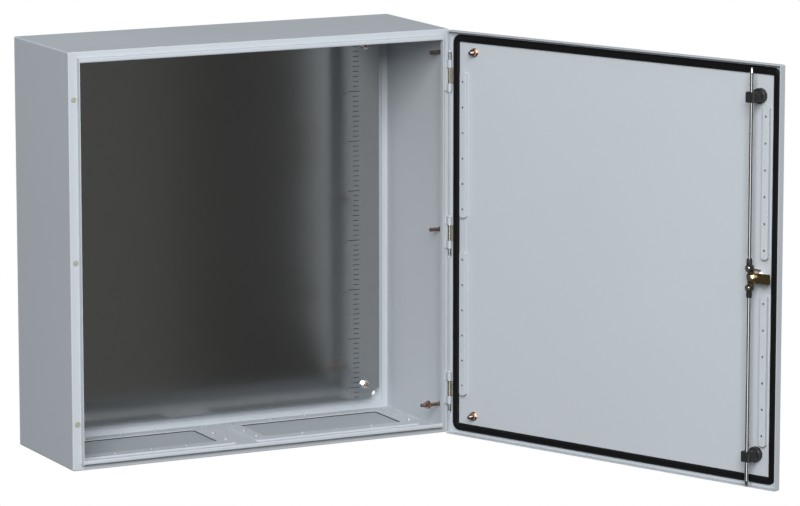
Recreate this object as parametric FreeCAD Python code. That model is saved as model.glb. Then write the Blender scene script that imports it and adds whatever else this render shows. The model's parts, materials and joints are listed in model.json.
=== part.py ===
import FreeCAD, Part
import math
import os

from FreeCAD import Rotation, Vector

# Steel wall enclosure, 800 x 800 x 288 mm, drawn with its door standing open.
# Millimetres, +X to the hinge side, +Y to the wall, +Z up.
# The origin is the middle of the four wall fixing holes, on the rear face.

# Overall body
width = 800.0
height = 800.0
body_depth = 270.0            # wall face to the front flange
sheet = 1.5                   # folded sheet of body, rear panel and door
corner_radius = 3.0           # outside bends of the body
bend_radius = 1.0             # inside radius of every fold

# Front frame
side_flange = 17.5            # flange left and right of the opening
end_flange = 12.0             # flange above and below the opening
lip_depth = 11.5              # how far the sealing lips stand forward
land_width = 8.5              # flat face of the top and bottom lips
lip_return = 7.0              # length of the fold behind the land

# Rear panel and its mounts
rear_flange = 13.5            # turned-in edge that the rear panel is welded to
panel_inset = 3.0             # rear panel edge, inside the body outline
wall_hole_edge = 32.0         # wall fixing holes, in from every side of the body
wall_hole = 8.5

# Mounting plate
plate_edge_x = 31.0           # plate, in from the sides of the body
plate_edge_z = 29.0           # plate, in from the top and bottom of the body
plate_thickness = 2.5
plate_stud_in_x = 32.0        # stud, in from the sides of the plate
plate_stud_in_z = 28.0        # stud, in from the top and bottom of the plate
plate_standoff = 21.0         # rear panel to the back of the plate
plate_corner_notch = 18.0     # radius of the notch that bares each wall hole
plate_hole = 9.0
stud_collar = 15.0            # collar that the plate is clamped against
plate_stud_tip = 20.0         # thread in front of the plate's back

# Metric fasteners
m8 = 8.0
m8_across_flats = 13.0
m8_nut = 6.5
m8_washer = 17.0
m8_washer_thickness = 1.6
m5 = 5.0
m5_hole = 5.5
m5_head = 9.5
m5_head_height = 3.0
m5_head_taper = 1.0
thread_chamfer = 1.0
nut_chamfer_angle = 30.0

# Earthing studs on the side walls
side_stud_setback = 36.5      # behind the front flange
side_stud_end = 50.0          # upper and lower stud, in from the top and bottom
side_stud_length = 22.5
long_stud_length = 41.5
long_stud_nut_seat = 23.0     # wall to the washer on the long stud
weld_flange = 10.4
weld_flange_thickness = 1.0

# Cable gland openings in the floor
gland_end = 50.0              # opening, in from the side of the body
gland_between = 100.0         # between the two openings
gland_rear = 45.0             # opening, in front of the wall face
gland_length = 120.0
gland_corner = 8.0
seat_margin_x = 30.0          # raised seat beyond the opening
seat_margin_y = 28.0
gland_gasket_thickness = 2.0
gland_plate_thickness = 1.5
gland_fit = 2.5               # gland plate edge to the wall of its recess
gland_screw_in = 9.0          # screw line, in from the gland plate's edge
gland_column_in = 17.0        # end screws of the short sides, in from the corner
gland_screw_tip = 4.0         # thread above the seat

# Hinges
hinge_end = 90.0              # upper and lower hinge, in from the top and bottom
hinge_axis_in = 4.0           # axis, in from the side of the body
hinge_axis_out = 11.5         # axis, in front of the flange
knuckle_radius = 4.0
knuckle_half = 15.5           # half the height of the door's knuckle
ear_height = 15.5
pin_diameter = 5.0
pin_grip_length = 15.0
pin_grip_diameter = 7.0
pin_grip_chamfer = 1.0
running_clearance = 0.05      # radial, turning fits
end_clearance = 0.3           # axial, turning fits
bracket_base = 3.0
bracket_inner_edge = 2.0      # bracket base, in from the side of the body
fixing_in = 10.7              # hinge fixing hole, in from the side of the body
fixing_hole = 6.5
fixing_bolt = 6.0
fixing_head = 10.0            # across flats
fixing_head_height = 4.0
blank_hole = 9.0
blank_plug_head = 11.0
blank_plug_height = 1.4
blank_plug_taper = 0.8
blank_plug_barb = 1.5         # how far the plug stands behind the flange
blank_plug_grip = 0.5         # how far its barb reaches past the hole
foot_clearance = 0.2          # hinge foot to the door seal
foot_edge = 0.5               # hinge foot past the axis

# Door
door_open_angle = 112.8       # where the door stands in this drawing
door_depth = 16.0
door_hinge_return = 7.0       # lower folded edge of the hinge side
door_inset = 1.0              # door edge, inside the body outline
door_gap = 2.0                # closed door edge to the flange
door_bend = 2.5
notch_clearance = 2.0

# Door seal
seal_width = 13.5
seal_clearance = 0.3          # undeformed seal to the lip, door closed
seal_corner = 16.0
seal_crown = 1.5

# Door rails
rail_width = 15.0
rail_height = 8.0
rail_start = 33.0             # above and below the middle of the door
rail_end_gap = 80.0           # rail, in from the top and bottom of the body
rail_corner = 5.0
rail_edge = 38.0              # rail centre, in from either side of the body
rail_hole = 4.5
rail_hole_pitch = 50.0
link_width = 8.0
link_thickness = 2.0

# Earthing studs on the door
door_stud_edge = 62.5         # in from the hinge side of the body
door_stud_end = 41.0          # in from the top and bottom of the body
door_stud_length = 17.0

# Lock
lock_edge = 55.0              # lock axis, in from the free side of the body
lock_body = 22.0
lock_head = 28.0
lock_head_height = 4.0
lock_head_chamfer = 1.2
lock_dish_rim = 3.0           # flat rim round the dished key recess
lock_dish_depth = 2.0
lock_seal_thickness = 1.0
ring_nut = 27.0               # across flats
ring_nut_height = 5.0
lock_bore = 14.0
lock_bit_width = 9.0
lock_bit_thickness = 3.0
key_post = 5.0
key_recess = 11.0
key_recess_depth = 8.0
tongue_thickness = 3.0
tongue_width = 20.0
tongue_reach = 41.0
tongue_taper = 1.5            # narrower at the lock, each side
tongue_corner = 3.0
tongue_gap = 0.5              # blanking plug's barb to the tongue
crank_radius = 18.5
crank_thickness = 2.0
crank_width = 14.0
crank_hub = 18.0
crank_pin = 6.0
crank_pin_head = 9.0
crank_pin_head_height = 1.5
crank_pin_chamfer = 0.6
cam_screw_head = 12.0
cam_screw_flats = 10.0
cam_screw_height = 5.0
cam_screw_flange = 1.0
cam_square = 8.0

# Rods
rod_diameter = 8.0
rod_tip_end = 8.0             # rod tip, in from the top and bottom of the body
rod_tip_taper = 9.0
rod_tip_diameter = 5.0
rod_end_diameter = 14.0
rod_end_neck = 10.0
rod_end_root = 11.2           # socket's diameter at the crank pin
rod_end_collar = 11.6
rod_end_collar_start = 4.0    # from the bottom of the socket
rod_end_length = 18.0         # crank pin to the end of the socket
rod_end_thickness = 8.0
rod_socket = 12.0             # how far the rod goes into its end piece
guide_end = 63.0              # guide, in from the top and bottom of the body
guide_disc = 29.0
guide_disc_height = 10.0
guide_block_width = 21.0
guide_block_height = 19.0
guide_wall = 3.0
guide_clearance = 0.3
guide_side_play = 3.8         # room for the rod's sideways swing
guide_stud = 6.0
guide_stud_length = 12.0
guide_foot_chamfer = 1.5
guide_post_corner = 4.0
guide_post_sink = 2.0         # block's root, above the door skin

# Places worked out from the sizes above
half_width = width / 2
half_height = height / 2
flange_y = -body_depth
lip_y = flange_y - lip_depth
wall_hole_x = half_width - wall_hole_edge
wall_hole_z = half_height - wall_hole_edge
plate_half_width = half_width - plate_edge_x
plate_half_height = half_height - plate_edge_z
side_stud_pitch = half_height - side_stud_end
gland_width = half_width - gland_end - gland_between / 2
gland_centre_x = (gland_between + gland_width) / 2
gland_centre_y = -gland_rear - gland_length / 2
hinge_x = half_width - hinge_axis_in
hinge_y = flange_y - hinge_axis_out
door_outer_y = flange_y - door_gap - door_depth
door_inner_y = door_outer_y + sheet
lip_half_width = half_width - side_flange
lip_half_height = half_height - end_flange
lock_x = -half_width + lock_edge
tongue_y = flange_y + sheet + blank_plug_barb + tongue_gap
crank_y = tongue_y + tongue_thickness
rod_end_y = crank_y + crank_thickness + end_clearance
rod_y = rod_end_y + rod_end_thickness / 2
pad_rise = gland_gasket_thickness + gland_plate_thickness
pad_under_z = -half_height + pad_rise
hinge_pitch = half_height - hinge_end
hinge_heights = {"top": hinge_pitch, "middle": 0.0, "bottom": -hinge_pitch}
rail_end = half_height - rail_end_gap
door_stud_height = half_height - door_stud_end
guide_height = half_height - guide_end
rod_tip = half_height - rod_tip_end

X, Y, Z = Vector(1, 0, 0), Vector(0, 1, 0), Vector(0, 0, 1)


# General shapes

def block(x, y, z):
    """A box from three (low, high) pairs."""
    size = [high - low for low, high in (x, y, z)]
    return Part.makeBox(*size, Vector(x[0], y[0], z[0]))


def rod(start, direction, radius, length):
    return Part.makeCylinder(radius, length, start, direction)


def edges_along(shape, direction):
    """Straight edges of a shape that run along one direction."""
    found = []
    for edge in shape.Edges:
        if len(edge.Vertexes) == 2 and edge.Curve.TypeId == "Part::GeomLine":
            if edge.tangentAt(edge.FirstParameter).cross(direction).Length < 1e-6:
                found.append(edge)
    return found


def rounded_block(x, y, z, direction, radius):
    """A box whose four edges along one direction are rounded."""
    solid = block(x, y, z)
    return solid.makeFillet(radius, edges_along(solid, direction))


def frame(outer_x, outer_z, inner_x, inner_z, y, radius):
    """A flat rectangular ring in the XZ plane with rounded outer corners."""
    outer = rounded_block((-outer_x, outer_x), y, (-outer_z, outer_z), Y, radius)
    return outer.cut(block((-inner_x, inner_x), y, (-inner_z, inner_z)))


def hexagon(centre, direction, across_flats, thickness):
    """A hexagonal prism that starts at its centre point and grows along a direction."""
    turn = Rotation(Z, direction)
    radius = across_flats / math.sqrt(3)
    corners = []
    for step in range(7):
        angle = math.radians(60 * step)
        flat = Vector(radius * math.cos(angle), radius * math.sin(angle), 0)
        corners.append(centre + turn.multVec(flat))
    return Part.Face(Part.makePolygon(corners)).extrude(direction * thickness)


def nut(centre, direction, thread, across_flats, thickness):
    """A hexagonal nut, chamfered at both ends, with a plain bore."""
    body = hexagon(centre, direction, across_flats, thickness)
    flat = across_flats / 2
    wide = flat + thickness / math.tan(math.radians(nut_chamfer_angle))
    for near, far in ((wide, flat), (flat, wide)):
        body = body.common(Part.makeCone(near, far, thickness, centre, direction))
    return body.cut(rod(centre, direction, thread / 2, thickness))


def washer(centre, direction, inner, outer, thickness):
    ring = rod(centre, direction, outer / 2, thickness)
    return ring.cut(rod(centre, direction, inner / 2, thickness))


def folded_strip(points, normal, length):
    """A sheet strip: a path of points through the middle of the sheet,
    bent with the usual radius, given its thickness and pulled to a length."""
    radius = bend_radius + sheet / 2
    edges = []
    start = points[0]
    for before, corner, after in zip(points, points[1:], points[2:]):
        arrive = (corner - before).normalize()
        leave = (after - corner).normalize()
        bend_start = corner - arrive * radius
        bend_end = corner + leave * radius
        middle = bend_start + leave * radius
        outward = (corner - middle).normalize()
        edges.append(Part.LineSegment(start, bend_start).toShape())
        edges.append(Part.Arc(bend_start, middle + outward * radius, bend_end).toShape())
        start = bend_end
    edges.append(Part.LineSegment(start, points[-1]).toShape())
    path = Part.Wire(edges)
    one_side = path.makeOffset2D(sheet / 2, 0, False, True, False)
    other_side = path.makeOffset2D(-sheet / 2, 0, False, True, False)
    first_a, last_a = wire_ends(one_side)
    first_b, last_b = wire_ends(other_side)
    if (first_a - first_b).Length > (first_a - last_b).Length:
        first_b, last_b = last_b, first_b
    closing = [
        Part.LineSegment(first_a, first_b).toShape(),
        Part.LineSegment(last_a, last_b).toShape(),
    ]
    outline = Part.Wire(Part.__sortEdges__(one_side.Edges + other_side.Edges + closing))
    return Part.Face(outline).extrude(normal * length)


def wire_ends(wire):
    ordered = Part.Wire(Part.__sortEdges__(wire.Edges))
    points = ordered.OrderedVertexes
    return points[0].Point, points[-1].Point


def mirror_x(shape):
    return shape.mirror(Vector(0, 0, 0), X)


def mirror_z(shape):
    return shape.mirror(Vector(0, 0, 0), Z)


def opened(shape):
    """Turns a part of the closed door to where the door stands."""
    turned = shape.copy()
    turned.rotate(Vector(hinge_x, hinge_y, 0), Z, door_open_angle)
    return turned


def save(name, shape):
    shape = shape.removeSplitter()
    shape.exportStep("parts/" + name + ".step")


# Body

def side_lip():
    """Sealing lip of the right side: flange, then a fold straight forward."""
    middle = lip_half_width - sheet / 2
    points = [
        Vector(half_width - corner_radius, flange_y + sheet / 2, -lip_half_height),
        Vector(middle, flange_y + sheet / 2, -lip_half_height),
        Vector(middle, lip_y, -lip_half_height),
    ]
    return folded_strip(points, Z, 2 * lip_half_height)


def end_lip():
    """Sealing lip of the top: forward, down the land and back behind it."""
    low = lip_half_height - land_width + sheet / 2
    high = lip_half_height - sheet / 2
    front = lip_y + sheet / 2
    points = [
        Vector(-lip_half_width, flange_y + sheet / 2, half_height - corner_radius),
        Vector(-lip_half_width, flange_y + sheet / 2, high),
        Vector(-lip_half_width, front, high),
        Vector(-lip_half_width, front, low),
        Vector(-lip_half_width, lip_y + lip_return, low),
    ]
    return folded_strip(points, X, 2 * lip_half_width)


def gland_screw_places(centre_x):
    """Screws round one gland opening: three along each of its four sides."""
    across = gland_width / 2 + seat_margin_x - sheet - gland_fit - gland_screw_in
    along = gland_length / 2 + seat_margin_y - sheet - gland_fit - gland_screw_in
    places = []
    row_pitch = gland_width / 4
    column_pitch = along - gland_column_in
    for step in (-1, 0, 1):
        for side in (-1, 1):
            places.append((centre_x + step * row_pitch, gland_centre_y + side * along))
            places.append((centre_x + side * across, gland_centre_y + step * column_pitch))
    return places


def gland_block(centre_x, margin_x, margin_y, low, high, radius):
    """A rounded upright block over one gland opening, grown by a margin."""
    reach_x = gland_width / 2 + margin_x
    reach_y = gland_length / 2 + margin_y
    return rounded_block(
        (centre_x - reach_x, centre_x + reach_x),
        (gland_centre_y - reach_y, gland_centre_y + reach_y),
        (low, high), Z, radius)


def gland_holes(centre_x, low, high):
    drills = [rod(Vector(x, y, low), Z, m5_hole / 2, high - low)
              for x, y in gland_screw_places(centre_x)]
    return Part.makeCompound(drills)


def add_gland_seat(body, centre_x):
    """Presses a raised seat into the floor and cuts its opening and screw holes."""
    top = pad_under_z + sheet
    floor = -half_height
    pad = gland_block(centre_x, seat_margin_x, seat_margin_y, floor, top, gland_corner + sheet)
    rim = [edge for edge in pad.Edges if edge.BoundBox.ZMin > top - 0.01]
    pad = pad.makeFillet(sheet, rim)
    recess = gland_block(centre_x, seat_margin_x - sheet, seat_margin_y - sheet,
                         floor, pad_under_z, gland_corner)
    opening = gland_block(centre_x, 0, 0, floor, top, gland_corner)
    pressed = body.fuse(pad).cut(recess).cut(opening)
    return pressed.cut(gland_holes(centre_x, pad_under_z - 1, top + 1))


def body_wrap():
    """Sides, top and floor with their front flanges, sealing lips and gland seats."""
    back = -sheet
    outer = block((-half_width, half_width), (flange_y, back), (-half_height, half_height))
    outer = outer.makeFillet(corner_radius, edges_along(outer, Y))
    bends = [edge for edge in outer.Edges
             if edge.BoundBox.YMax < flange_y + 0.01 or edge.BoundBox.YMin > back - 0.01]
    outer = outer.makeFillet(corner_radius - sheet / 2, bends)
    inner = rounded_block(
        (-half_width + sheet, half_width - sheet),
        (flange_y + sheet, back - sheet),
        (-half_height + sheet, half_height - sheet), Y, corner_radius - sheet)
    rear_bends = [edge for edge in inner.Edges if edge.BoundBox.YMin > back - sheet - 0.01]
    inner = inner.makeFillet(bend_radius, rear_bends)
    fold_room = bend_radius + sheet
    mouth = block(
        (-lip_half_width - fold_room + sheet, lip_half_width + fold_room - sheet),
        (flange_y - 1, flange_y + sheet + 1),
        (-lip_half_height - fold_room + sheet, lip_half_height + fold_room - sheet))
    rear_mouth_x = half_width - rear_flange
    rear_mouth_z = half_height - rear_flange
    rear_mouth = block(
        (-rear_mouth_x, rear_mouth_x), (back - sheet - 1, back + 1), (-rear_mouth_z, rear_mouth_z))
    side, end = side_lip(), end_lip()
    lips = [side, mirror_x(side), end, mirror_z(end)]
    body = outer.cut(inner).cut(mouth).cut(rear_mouth).multiFuse(lips)
    for centre_x in (-gland_centre_x, gland_centre_x):
        body = add_gland_seat(body, centre_x)
    return body.cut(hinge_fixing_holes())


def hinge_fixing_holes():
    """Hinge holes down the right flange and the same pattern, plugged, down the left."""
    drills = []
    for z in hinge_heights.values():
        for side, size in ((1, fixing_hole), (-1, blank_hole)):
            x = side * (half_width - fixing_in)
            drills.append(rod(Vector(x, flange_y - 1, z), Y, size / 2, sheet + 2))
    return Part.makeCompound(drills)


def wall_hole_places():
    return [(x, z) for x in (-wall_hole_x, wall_hole_x) for z in (-wall_hole_z, wall_hole_z)]


def plate_stud_places():
    half_x = plate_half_width - plate_stud_in_x
    half_z = plate_half_height - plate_stud_in_z
    return [(x, z) for x in (-half_x, half_x) for z in (-half_z, half_z)]


def rear_panel():
    reach_x = half_width - panel_inset
    reach_z = half_height - panel_inset
    panel = rounded_block((-reach_x, reach_x), (-sheet, 0), (-reach_z, reach_z), Y, corner_radius)
    for x, z in wall_hole_places():
        panel = panel.cut(rod(Vector(x, -sheet - 1, z), Y, wall_hole / 2, sheet + 2))
    return panel


# Mounting plate

plate_back_y = -sheet - plate_standoff
plate_front_y = plate_back_y - plate_thickness


def mounting_plate():
    """Flat component plate, notched at its four corners for the wall fixings."""
    blank = block(
        (-plate_half_width, plate_half_width), (plate_front_y, plate_back_y),
        (-plate_half_height, plate_half_height))
    for x in (-plate_half_width, plate_half_width):
        for z in (-plate_half_height, plate_half_height):
            corner = Vector(x, plate_front_y - 1, z)
            blank = blank.cut(rod(corner, Y, plate_corner_notch, plate_thickness + 2))
    for x, z in plate_stud_places():
        hole = rod(Vector(x, plate_front_y - 1, z), Y, plate_hole / 2, plate_thickness + 2)
        blank = blank.cut(hole)
    return blank


def plate_studs():
    """Welded collar studs: the plate is clamped against the collars."""
    studs = []
    for x, z in plate_stud_places():
        base = Vector(x, -sheet, z)
        collar = rod(base, -Y, stud_collar / 2, plate_standoff)
        thread = rod(base, -Y, m8 / 2, plate_standoff + plate_stud_tip)
        tip = [edge for edge in thread.Edges if edge.BoundBox.YMax < plate_back_y - 1]
        studs.append(collar.fuse(thread.makeChamfer(thread_chamfer, tip)))
    return Part.makeCompound(studs)


def plate_washers():
    rings = [washer(Vector(x, plate_front_y, z), -Y, m8, m8_washer, m8_washer_thickness)
             for x, z in plate_stud_places()]
    return Part.makeCompound(rings)


def plate_nuts():
    seat = plate_front_y - m8_washer_thickness
    nuts = [nut(Vector(x, seat, z), -Y, m8, m8_across_flats, m8_nut)
            for x, z in plate_stud_places()]
    return Part.makeCompound(nuts)


# Gland plates

def gland_plate(centre_x):
    low = -half_height
    high = low + gland_plate_thickness
    margin = sheet + gland_fit
    plate = gland_block(
        centre_x, seat_margin_x - margin, seat_margin_y - margin, low, high, gland_corner)
    return plate.cut(gland_holes(centre_x, low - 1, high + 1))


def gland_gasket(centre_x):
    low = -half_height + gland_plate_thickness
    margin = sheet + gland_fit
    seal = gland_block(centre_x, seat_margin_x - margin, seat_margin_y - margin,
                       low, pad_under_z, gland_corner)
    seal = seal.cut(gland_block(centre_x, 0, 0, low, pad_under_z, gland_corner))
    return seal.cut(gland_holes(centre_x, low - 1, pad_under_z + 1))


def gland_screws(centre_x):
    """Pan head screws put in from below, their tips standing above the seat."""
    screws = []
    bottom = -half_height
    tip = pad_under_z + sheet + gland_screw_tip
    rim = m5_head / 2
    for x, y in gland_screw_places(centre_x):
        shank = rod(Vector(x, y, bottom), Z, m5 / 2, tip - bottom)
        head = Part.makeCone(rim, rim - m5_head_taper, m5_head_height, Vector(x, y, bottom), -Z)
        screws.append(shank.fuse(head))
    return Part.makeCompound(screws)


# Side wall studs

def side_stud(z, length):
    base = Vector(half_width - sheet, flange_y + side_stud_setback, z)
    stud = rod(base, -X, m8 / 2, length)
    tip = [edge for edge in stud.Edges if edge.BoundBox.XMax < base.x - length / 2]
    flange = rod(base, -X, weld_flange / 2, weld_flange_thickness)
    return stud.makeChamfer(thread_chamfer, tip).fuse(flange)


def side_studs_right():
    short = [side_stud(z, side_stud_length) for z in (side_stud_pitch, 0.0)]
    return Part.makeCompound(short + [side_stud(-side_stud_pitch, long_stud_length)])


def side_studs_left():
    heights = (side_stud_pitch, 0.0, -side_stud_pitch)
    return mirror_x(Part.makeCompound([side_stud(z, side_stud_length) for z in heights]))


def side_earth_seat():
    x = half_width - sheet - long_stud_nut_seat
    return Vector(x, flange_y + side_stud_setback, -side_stud_pitch)


def side_earth_washer():
    return washer(side_earth_seat(), -X, m8, m8_washer, m8_washer_thickness)


def side_earth_nut():
    return nut(side_earth_seat() - X * m8_washer_thickness, -X, m8, m8_across_flats, m8_nut)


def hinge_blanking_plugs():
    """Snap-in plugs in the unused hinge holes of the left flange."""
    plugs = []
    for z in hinge_heights.values():
        face = Vector(-half_width + fixing_in, flange_y, z)
        rim = blank_plug_head / 2
        hole = blank_hole / 2
        head = Part.makeCone(rim, rim - blank_plug_taper, blank_plug_height, face, -Y)
        stem = rod(face, Y, hole, sheet)
        barb = Part.makeCone(
            hole + blank_plug_grip, hole - blank_plug_grip, blank_plug_barb, face + Y * sheet, Y)
        plugs.append(head.multiFuse([stem, barb]))
    return Part.makeCompound(plugs)


# Hinges

def hinge_bracket(z):
    """Body half of a hinge: a base on the flange and two ears that hold the pin."""
    reach = knuckle_half + ear_height
    base = block(
        (lip_half_width + bend_radius + end_clearance, half_width - bracket_inner_edge),
        (flange_y - bracket_base, flange_y), (z - reach, z + reach))
    ears = []
    for low in (z + knuckle_half, z - knuckle_half - ear_height):
        centre = Vector(hinge_x, hinge_y, low)
        neck = block(
            (hinge_x - knuckle_radius, hinge_x), (hinge_y, flange_y), (low, low + ear_height))
        ears.append(rod(centre, Z, knuckle_radius, ear_height).fuse(neck))
    bore = rod(Vector(hinge_x, hinge_y, z - reach), Z, pin_diameter / 2 + running_clearance, 2 * reach)
    bolt = Vector(half_width - fixing_in, flange_y - bracket_base, z)
    return base.multiFuse(ears).cut(bore).cut(rod(bolt, Y, fixing_bolt / 2, bracket_base))


def hinge_bracket_bolts():
    """One bolt from inside the body holds each bracket."""
    bolts = []
    for z in hinge_heights.values():
        seat = Vector(half_width - fixing_in, flange_y + sheet, z)
        shank = rod(seat, -Y, fixing_bolt / 2, sheet + bracket_base)
        bolts.append(shank.fuse(hexagon(seat, Y, fixing_head, fixing_head_height)))
    return Part.makeCompound(bolts)


def hinge_pin(z, grip):
    """Removable pin; its grip stands past the upper (1) or lower (-1) ear."""
    reach = knuckle_half + ear_height
    pin = rod(Vector(hinge_x, hinge_y, z - reach), Z, pin_diameter / 2, 2 * reach)
    start = Vector(hinge_x, hinge_y, z + grip * reach)
    handle = rod(start, Z * grip, pin_grip_diameter / 2, pin_grip_length)
    ends = [edge for edge in handle.Edges
            if min(abs(vertex.Z - start.z) for vertex in edge.Vertexes) > pin_grip_length / 2]
    return pin.fuse(handle.makeChamfer(pin_grip_chamfer, ends))


def hinge_barrel(z):
    """Door half of a hinge: a knuckle with a foot on the inside of the door."""
    half = knuckle_half - end_clearance
    low = Vector(hinge_x, hinge_y, z - half)
    knuckle = rod(low, Z, knuckle_radius, 2 * half)
    foot_start = seal_half_width + seal_width / 2 + foot_clearance
    foot = block(
        (foot_start, hinge_x + foot_edge), (door_inner_y, hinge_y - knuckle_radius / 2),
        (z - half, z + half))
    return knuckle.fuse(foot).cut(rod(low, Z, pin_diameter / 2 + running_clearance, 2 * half))


# Door, drawn closed and then turned to where it stands

seal_half_width = lip_half_width - sheet / 2
seal_half_height = lip_half_height - land_width / 2


def door_panel():
    """Door with folded edges, the hinge side's lower and notched, and a hole for the lock."""
    reach_x = half_width - door_inset
    reach_z = half_height - door_inset
    edge_y = door_outer_y + door_depth
    pan = block((-reach_x, reach_x), (door_outer_y, edge_y), (-reach_z, reach_z))
    pan = pan.makeFillet(door_bend, edges_along(pan, Y))
    face_edges = [edge for edge in pan.Edges if edge.BoundBox.YMax < door_outer_y + 0.01]
    pan = pan.makeFillet(door_bend, face_edges)
    hollow = block(
        (-reach_x + sheet, reach_x - sheet), (door_inner_y, edge_y + 1),
        (-reach_z + sheet, reach_z - sheet))
    hollow = hollow.makeFillet(door_bend - sheet, edges_along(hollow, Y))
    low_side = block(
        (reach_x - door_bend, reach_x + 1), (door_outer_y + door_hinge_return, edge_y + 1),
        (-reach_z - 1, reach_z + 1))
    pan = pan.cut(hollow).cut(low_side)
    for name, z in hinge_heights.items():
        pan = pan.cut(hinge_notch(z, hinge_grip(name)))
    hole = rod(Vector(lock_x, door_outer_y - 1, 0), Y, lock_body / 2, sheet + 2)
    return pan.cut(hole)


def hinge_grip(name):
    """The upper hinge's pin is drawn upwards, the other two downwards."""
    return 1 if name == "top" else -1


def hinge_notch(z, grip):
    """Gap in the folded door edge that leaves room for a hinge and its pin."""
    reach = knuckle_half + ear_height + notch_clearance
    ends = sorted((z - grip * reach, z + grip * (reach + pin_grip_length)))
    return block((half_width - door_inset - door_bend, half_width), (door_inner_y, flange_y), ends)


def door_gasket():
    """Foamed seal run round the door, with a crowned face."""
    inner_x = seal_half_width - seal_width / 2
    inner_z = seal_half_height - seal_width / 2
    face_y = lip_y - seal_clearance
    ring = frame(
        inner_x + seal_width, inner_z + seal_width, inner_x, inner_z,
        (door_inner_y, face_y), seal_corner)
    crown = [edge for edge in ring.Edges if edge.BoundBox.YMin > face_y - 0.01]
    return ring.makeFillet(seal_crown, crown)


def door_rail(centre_x):
    """Upper rail of one side: a channel with its open side on the door skin."""
    reach = rail_width / 2
    face_y = door_inner_y + rail_height
    outside = rounded_block(
        (centre_x - reach, centre_x + reach), (door_inner_y, face_y), (rail_start, rail_end),
        Y, rail_corner)
    face_edges = [edge for edge in outside.Edges if edge.BoundBox.YMin > face_y - 0.01]
    outside = outside.makeFillet(bend_radius, face_edges)
    inside = rounded_block(
        (centre_x - reach + sheet, centre_x + reach - sheet), (door_inner_y, face_y - sheet),
        (rail_start + sheet, rail_end - sheet), Y, rail_corner - sheet)
    rail = outside.cut(inside)
    for step in range(1, int(rail_end // rail_hole_pitch) + 1):
        z = step * rail_hole_pitch
        if rail_start + rail_corner < z < rail_end - rail_corner:
            rail = rail.cut(rod(Vector(centre_x, face_y - sheet - 1, z), Y, rail_hole / 2, sheet + 2))
    return rail


rail_hinge_x = half_width - rail_edge
rail_lock_x = -half_width + rail_edge


def rail_hinge_link():
    """Flat strip between the two rails of the hinge side."""
    reach = link_width / 2
    return block(
        (rail_hinge_x - reach, rail_hinge_x + reach),
        (door_inner_y, door_inner_y + link_thickness), (-rail_start, rail_start))


def door_stud_places():
    x = half_width - door_stud_edge
    return [Vector(x, door_inner_y, z) for z in (-door_stud_height, door_stud_height)]


def door_earth_studs():
    studs = []
    for base in door_stud_places():
        stud = rod(base, Y, m8 / 2, door_stud_length)
        tip = [edge for edge in stud.Edges if edge.BoundBox.YMin > base.y + door_stud_length / 2]
        studs.append(stud.makeChamfer(thread_chamfer, tip))
    return Part.makeCompound(studs)


def door_earth_washers():
    rings = [washer(base, Y, m8, m8_washer, m8_washer_thickness) for base in door_stud_places()]
    return Part.makeCompound(rings)


def door_earth_nuts():
    nuts = [nut(base + Y * m8_washer_thickness, Y, m8, m8_across_flats, m8_nut)
            for base in door_stud_places()]
    return Part.makeCompound(nuts)


# Lock: housing and nut on the door, insert, tongue and crank turning in it

def lock_housing():
    """Barrel through the door with a round head outside and a dished key recess."""
    seat_y = door_outer_y - lock_seal_thickness
    head = rod(Vector(lock_x, seat_y, 0), -Y, lock_head / 2, lock_head_height)
    rim = [edge for edge in head.Edges if edge.BoundBox.YMax < seat_y - lock_head_height / 2]
    head = head.makeChamfer(lock_head_chamfer, rim)
    barrel_end = tongue_y - end_clearance
    barrel = rod(Vector(lock_x, seat_y, 0), Y, lock_body / 2, barrel_end - seat_y)
    bore_start = Vector(lock_x, seat_y - lock_head_height, 0)
    bore = rod(bore_start, Y, lock_bore / 2 + running_clearance, barrel_end - bore_start.y)
    dish = Part.makeCone(lock_head / 2 - lock_dish_rim, lock_bore / 2, lock_dish_depth, bore_start, Y)
    return head.fuse(barrel).cut(bore).cut(dish)


def lock_gasket():
    return washer(Vector(lock_x, door_outer_y, 0), -Y, lock_body, lock_head, lock_seal_thickness)


def lock_ring_nut():
    return nut(Vector(lock_x, door_inner_y, 0), Y, lock_body, ring_nut, ring_nut_height)


def lock_insert():
    """Turning core: a double-bit key post in front, a square for the cam behind."""
    front = door_outer_y - lock_seal_thickness - lock_head_height + lock_dish_depth
    start = Vector(lock_x, front, 0)
    core = rod(start, Y, lock_bore / 2, tongue_y - front)
    recess = rod(start, Y, key_recess / 2, key_recess_depth)
    bit = block(
        (lock_x - lock_bit_width / 2, lock_x + lock_bit_width / 2),
        (front, front + key_recess_depth),
        (-lock_bit_thickness / 2, lock_bit_thickness / 2))
    post = bit.fuse(rod(start, Y, key_post / 2, key_recess_depth))
    return core.cut(recess).fuse(post).fuse(cam_square_bar(tongue_y, crank_y + crank_thickness))


def cam_square_bar(low, high):
    """The square that turns tongue and crank."""
    half = cam_square / 2
    return block((lock_x - half, lock_x + half), (low, high), (-half, half))


def cam_tongue():
    """Lever that reaches behind the body's flange, slightly wider at its end."""
    tip_x = lock_x - tongue_reach
    end = tongue_width / 2
    root = end - tongue_taper
    corners = [(lock_x, root), (tip_x, end), (tip_x, -end), (lock_x, -root), (lock_x, root)]
    flat = Part.Face(Part.makePolygon([Vector(x, tongue_y, z) for x, z in corners]))
    lever = flat.extrude(Y * tongue_thickness)
    hub = rod(Vector(lock_x, tongue_y, 0), Y, lock_body / 2, tongue_thickness)
    lever = lever.fuse(hub).cut(cam_square_bar(tongue_y, crank_y))
    tip = [edge for edge in edges_along(lever, Y) if edge.BoundBox.XMax < tip_x + end / 2]
    return lever.makeFillet(tongue_corner, tip)


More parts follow.
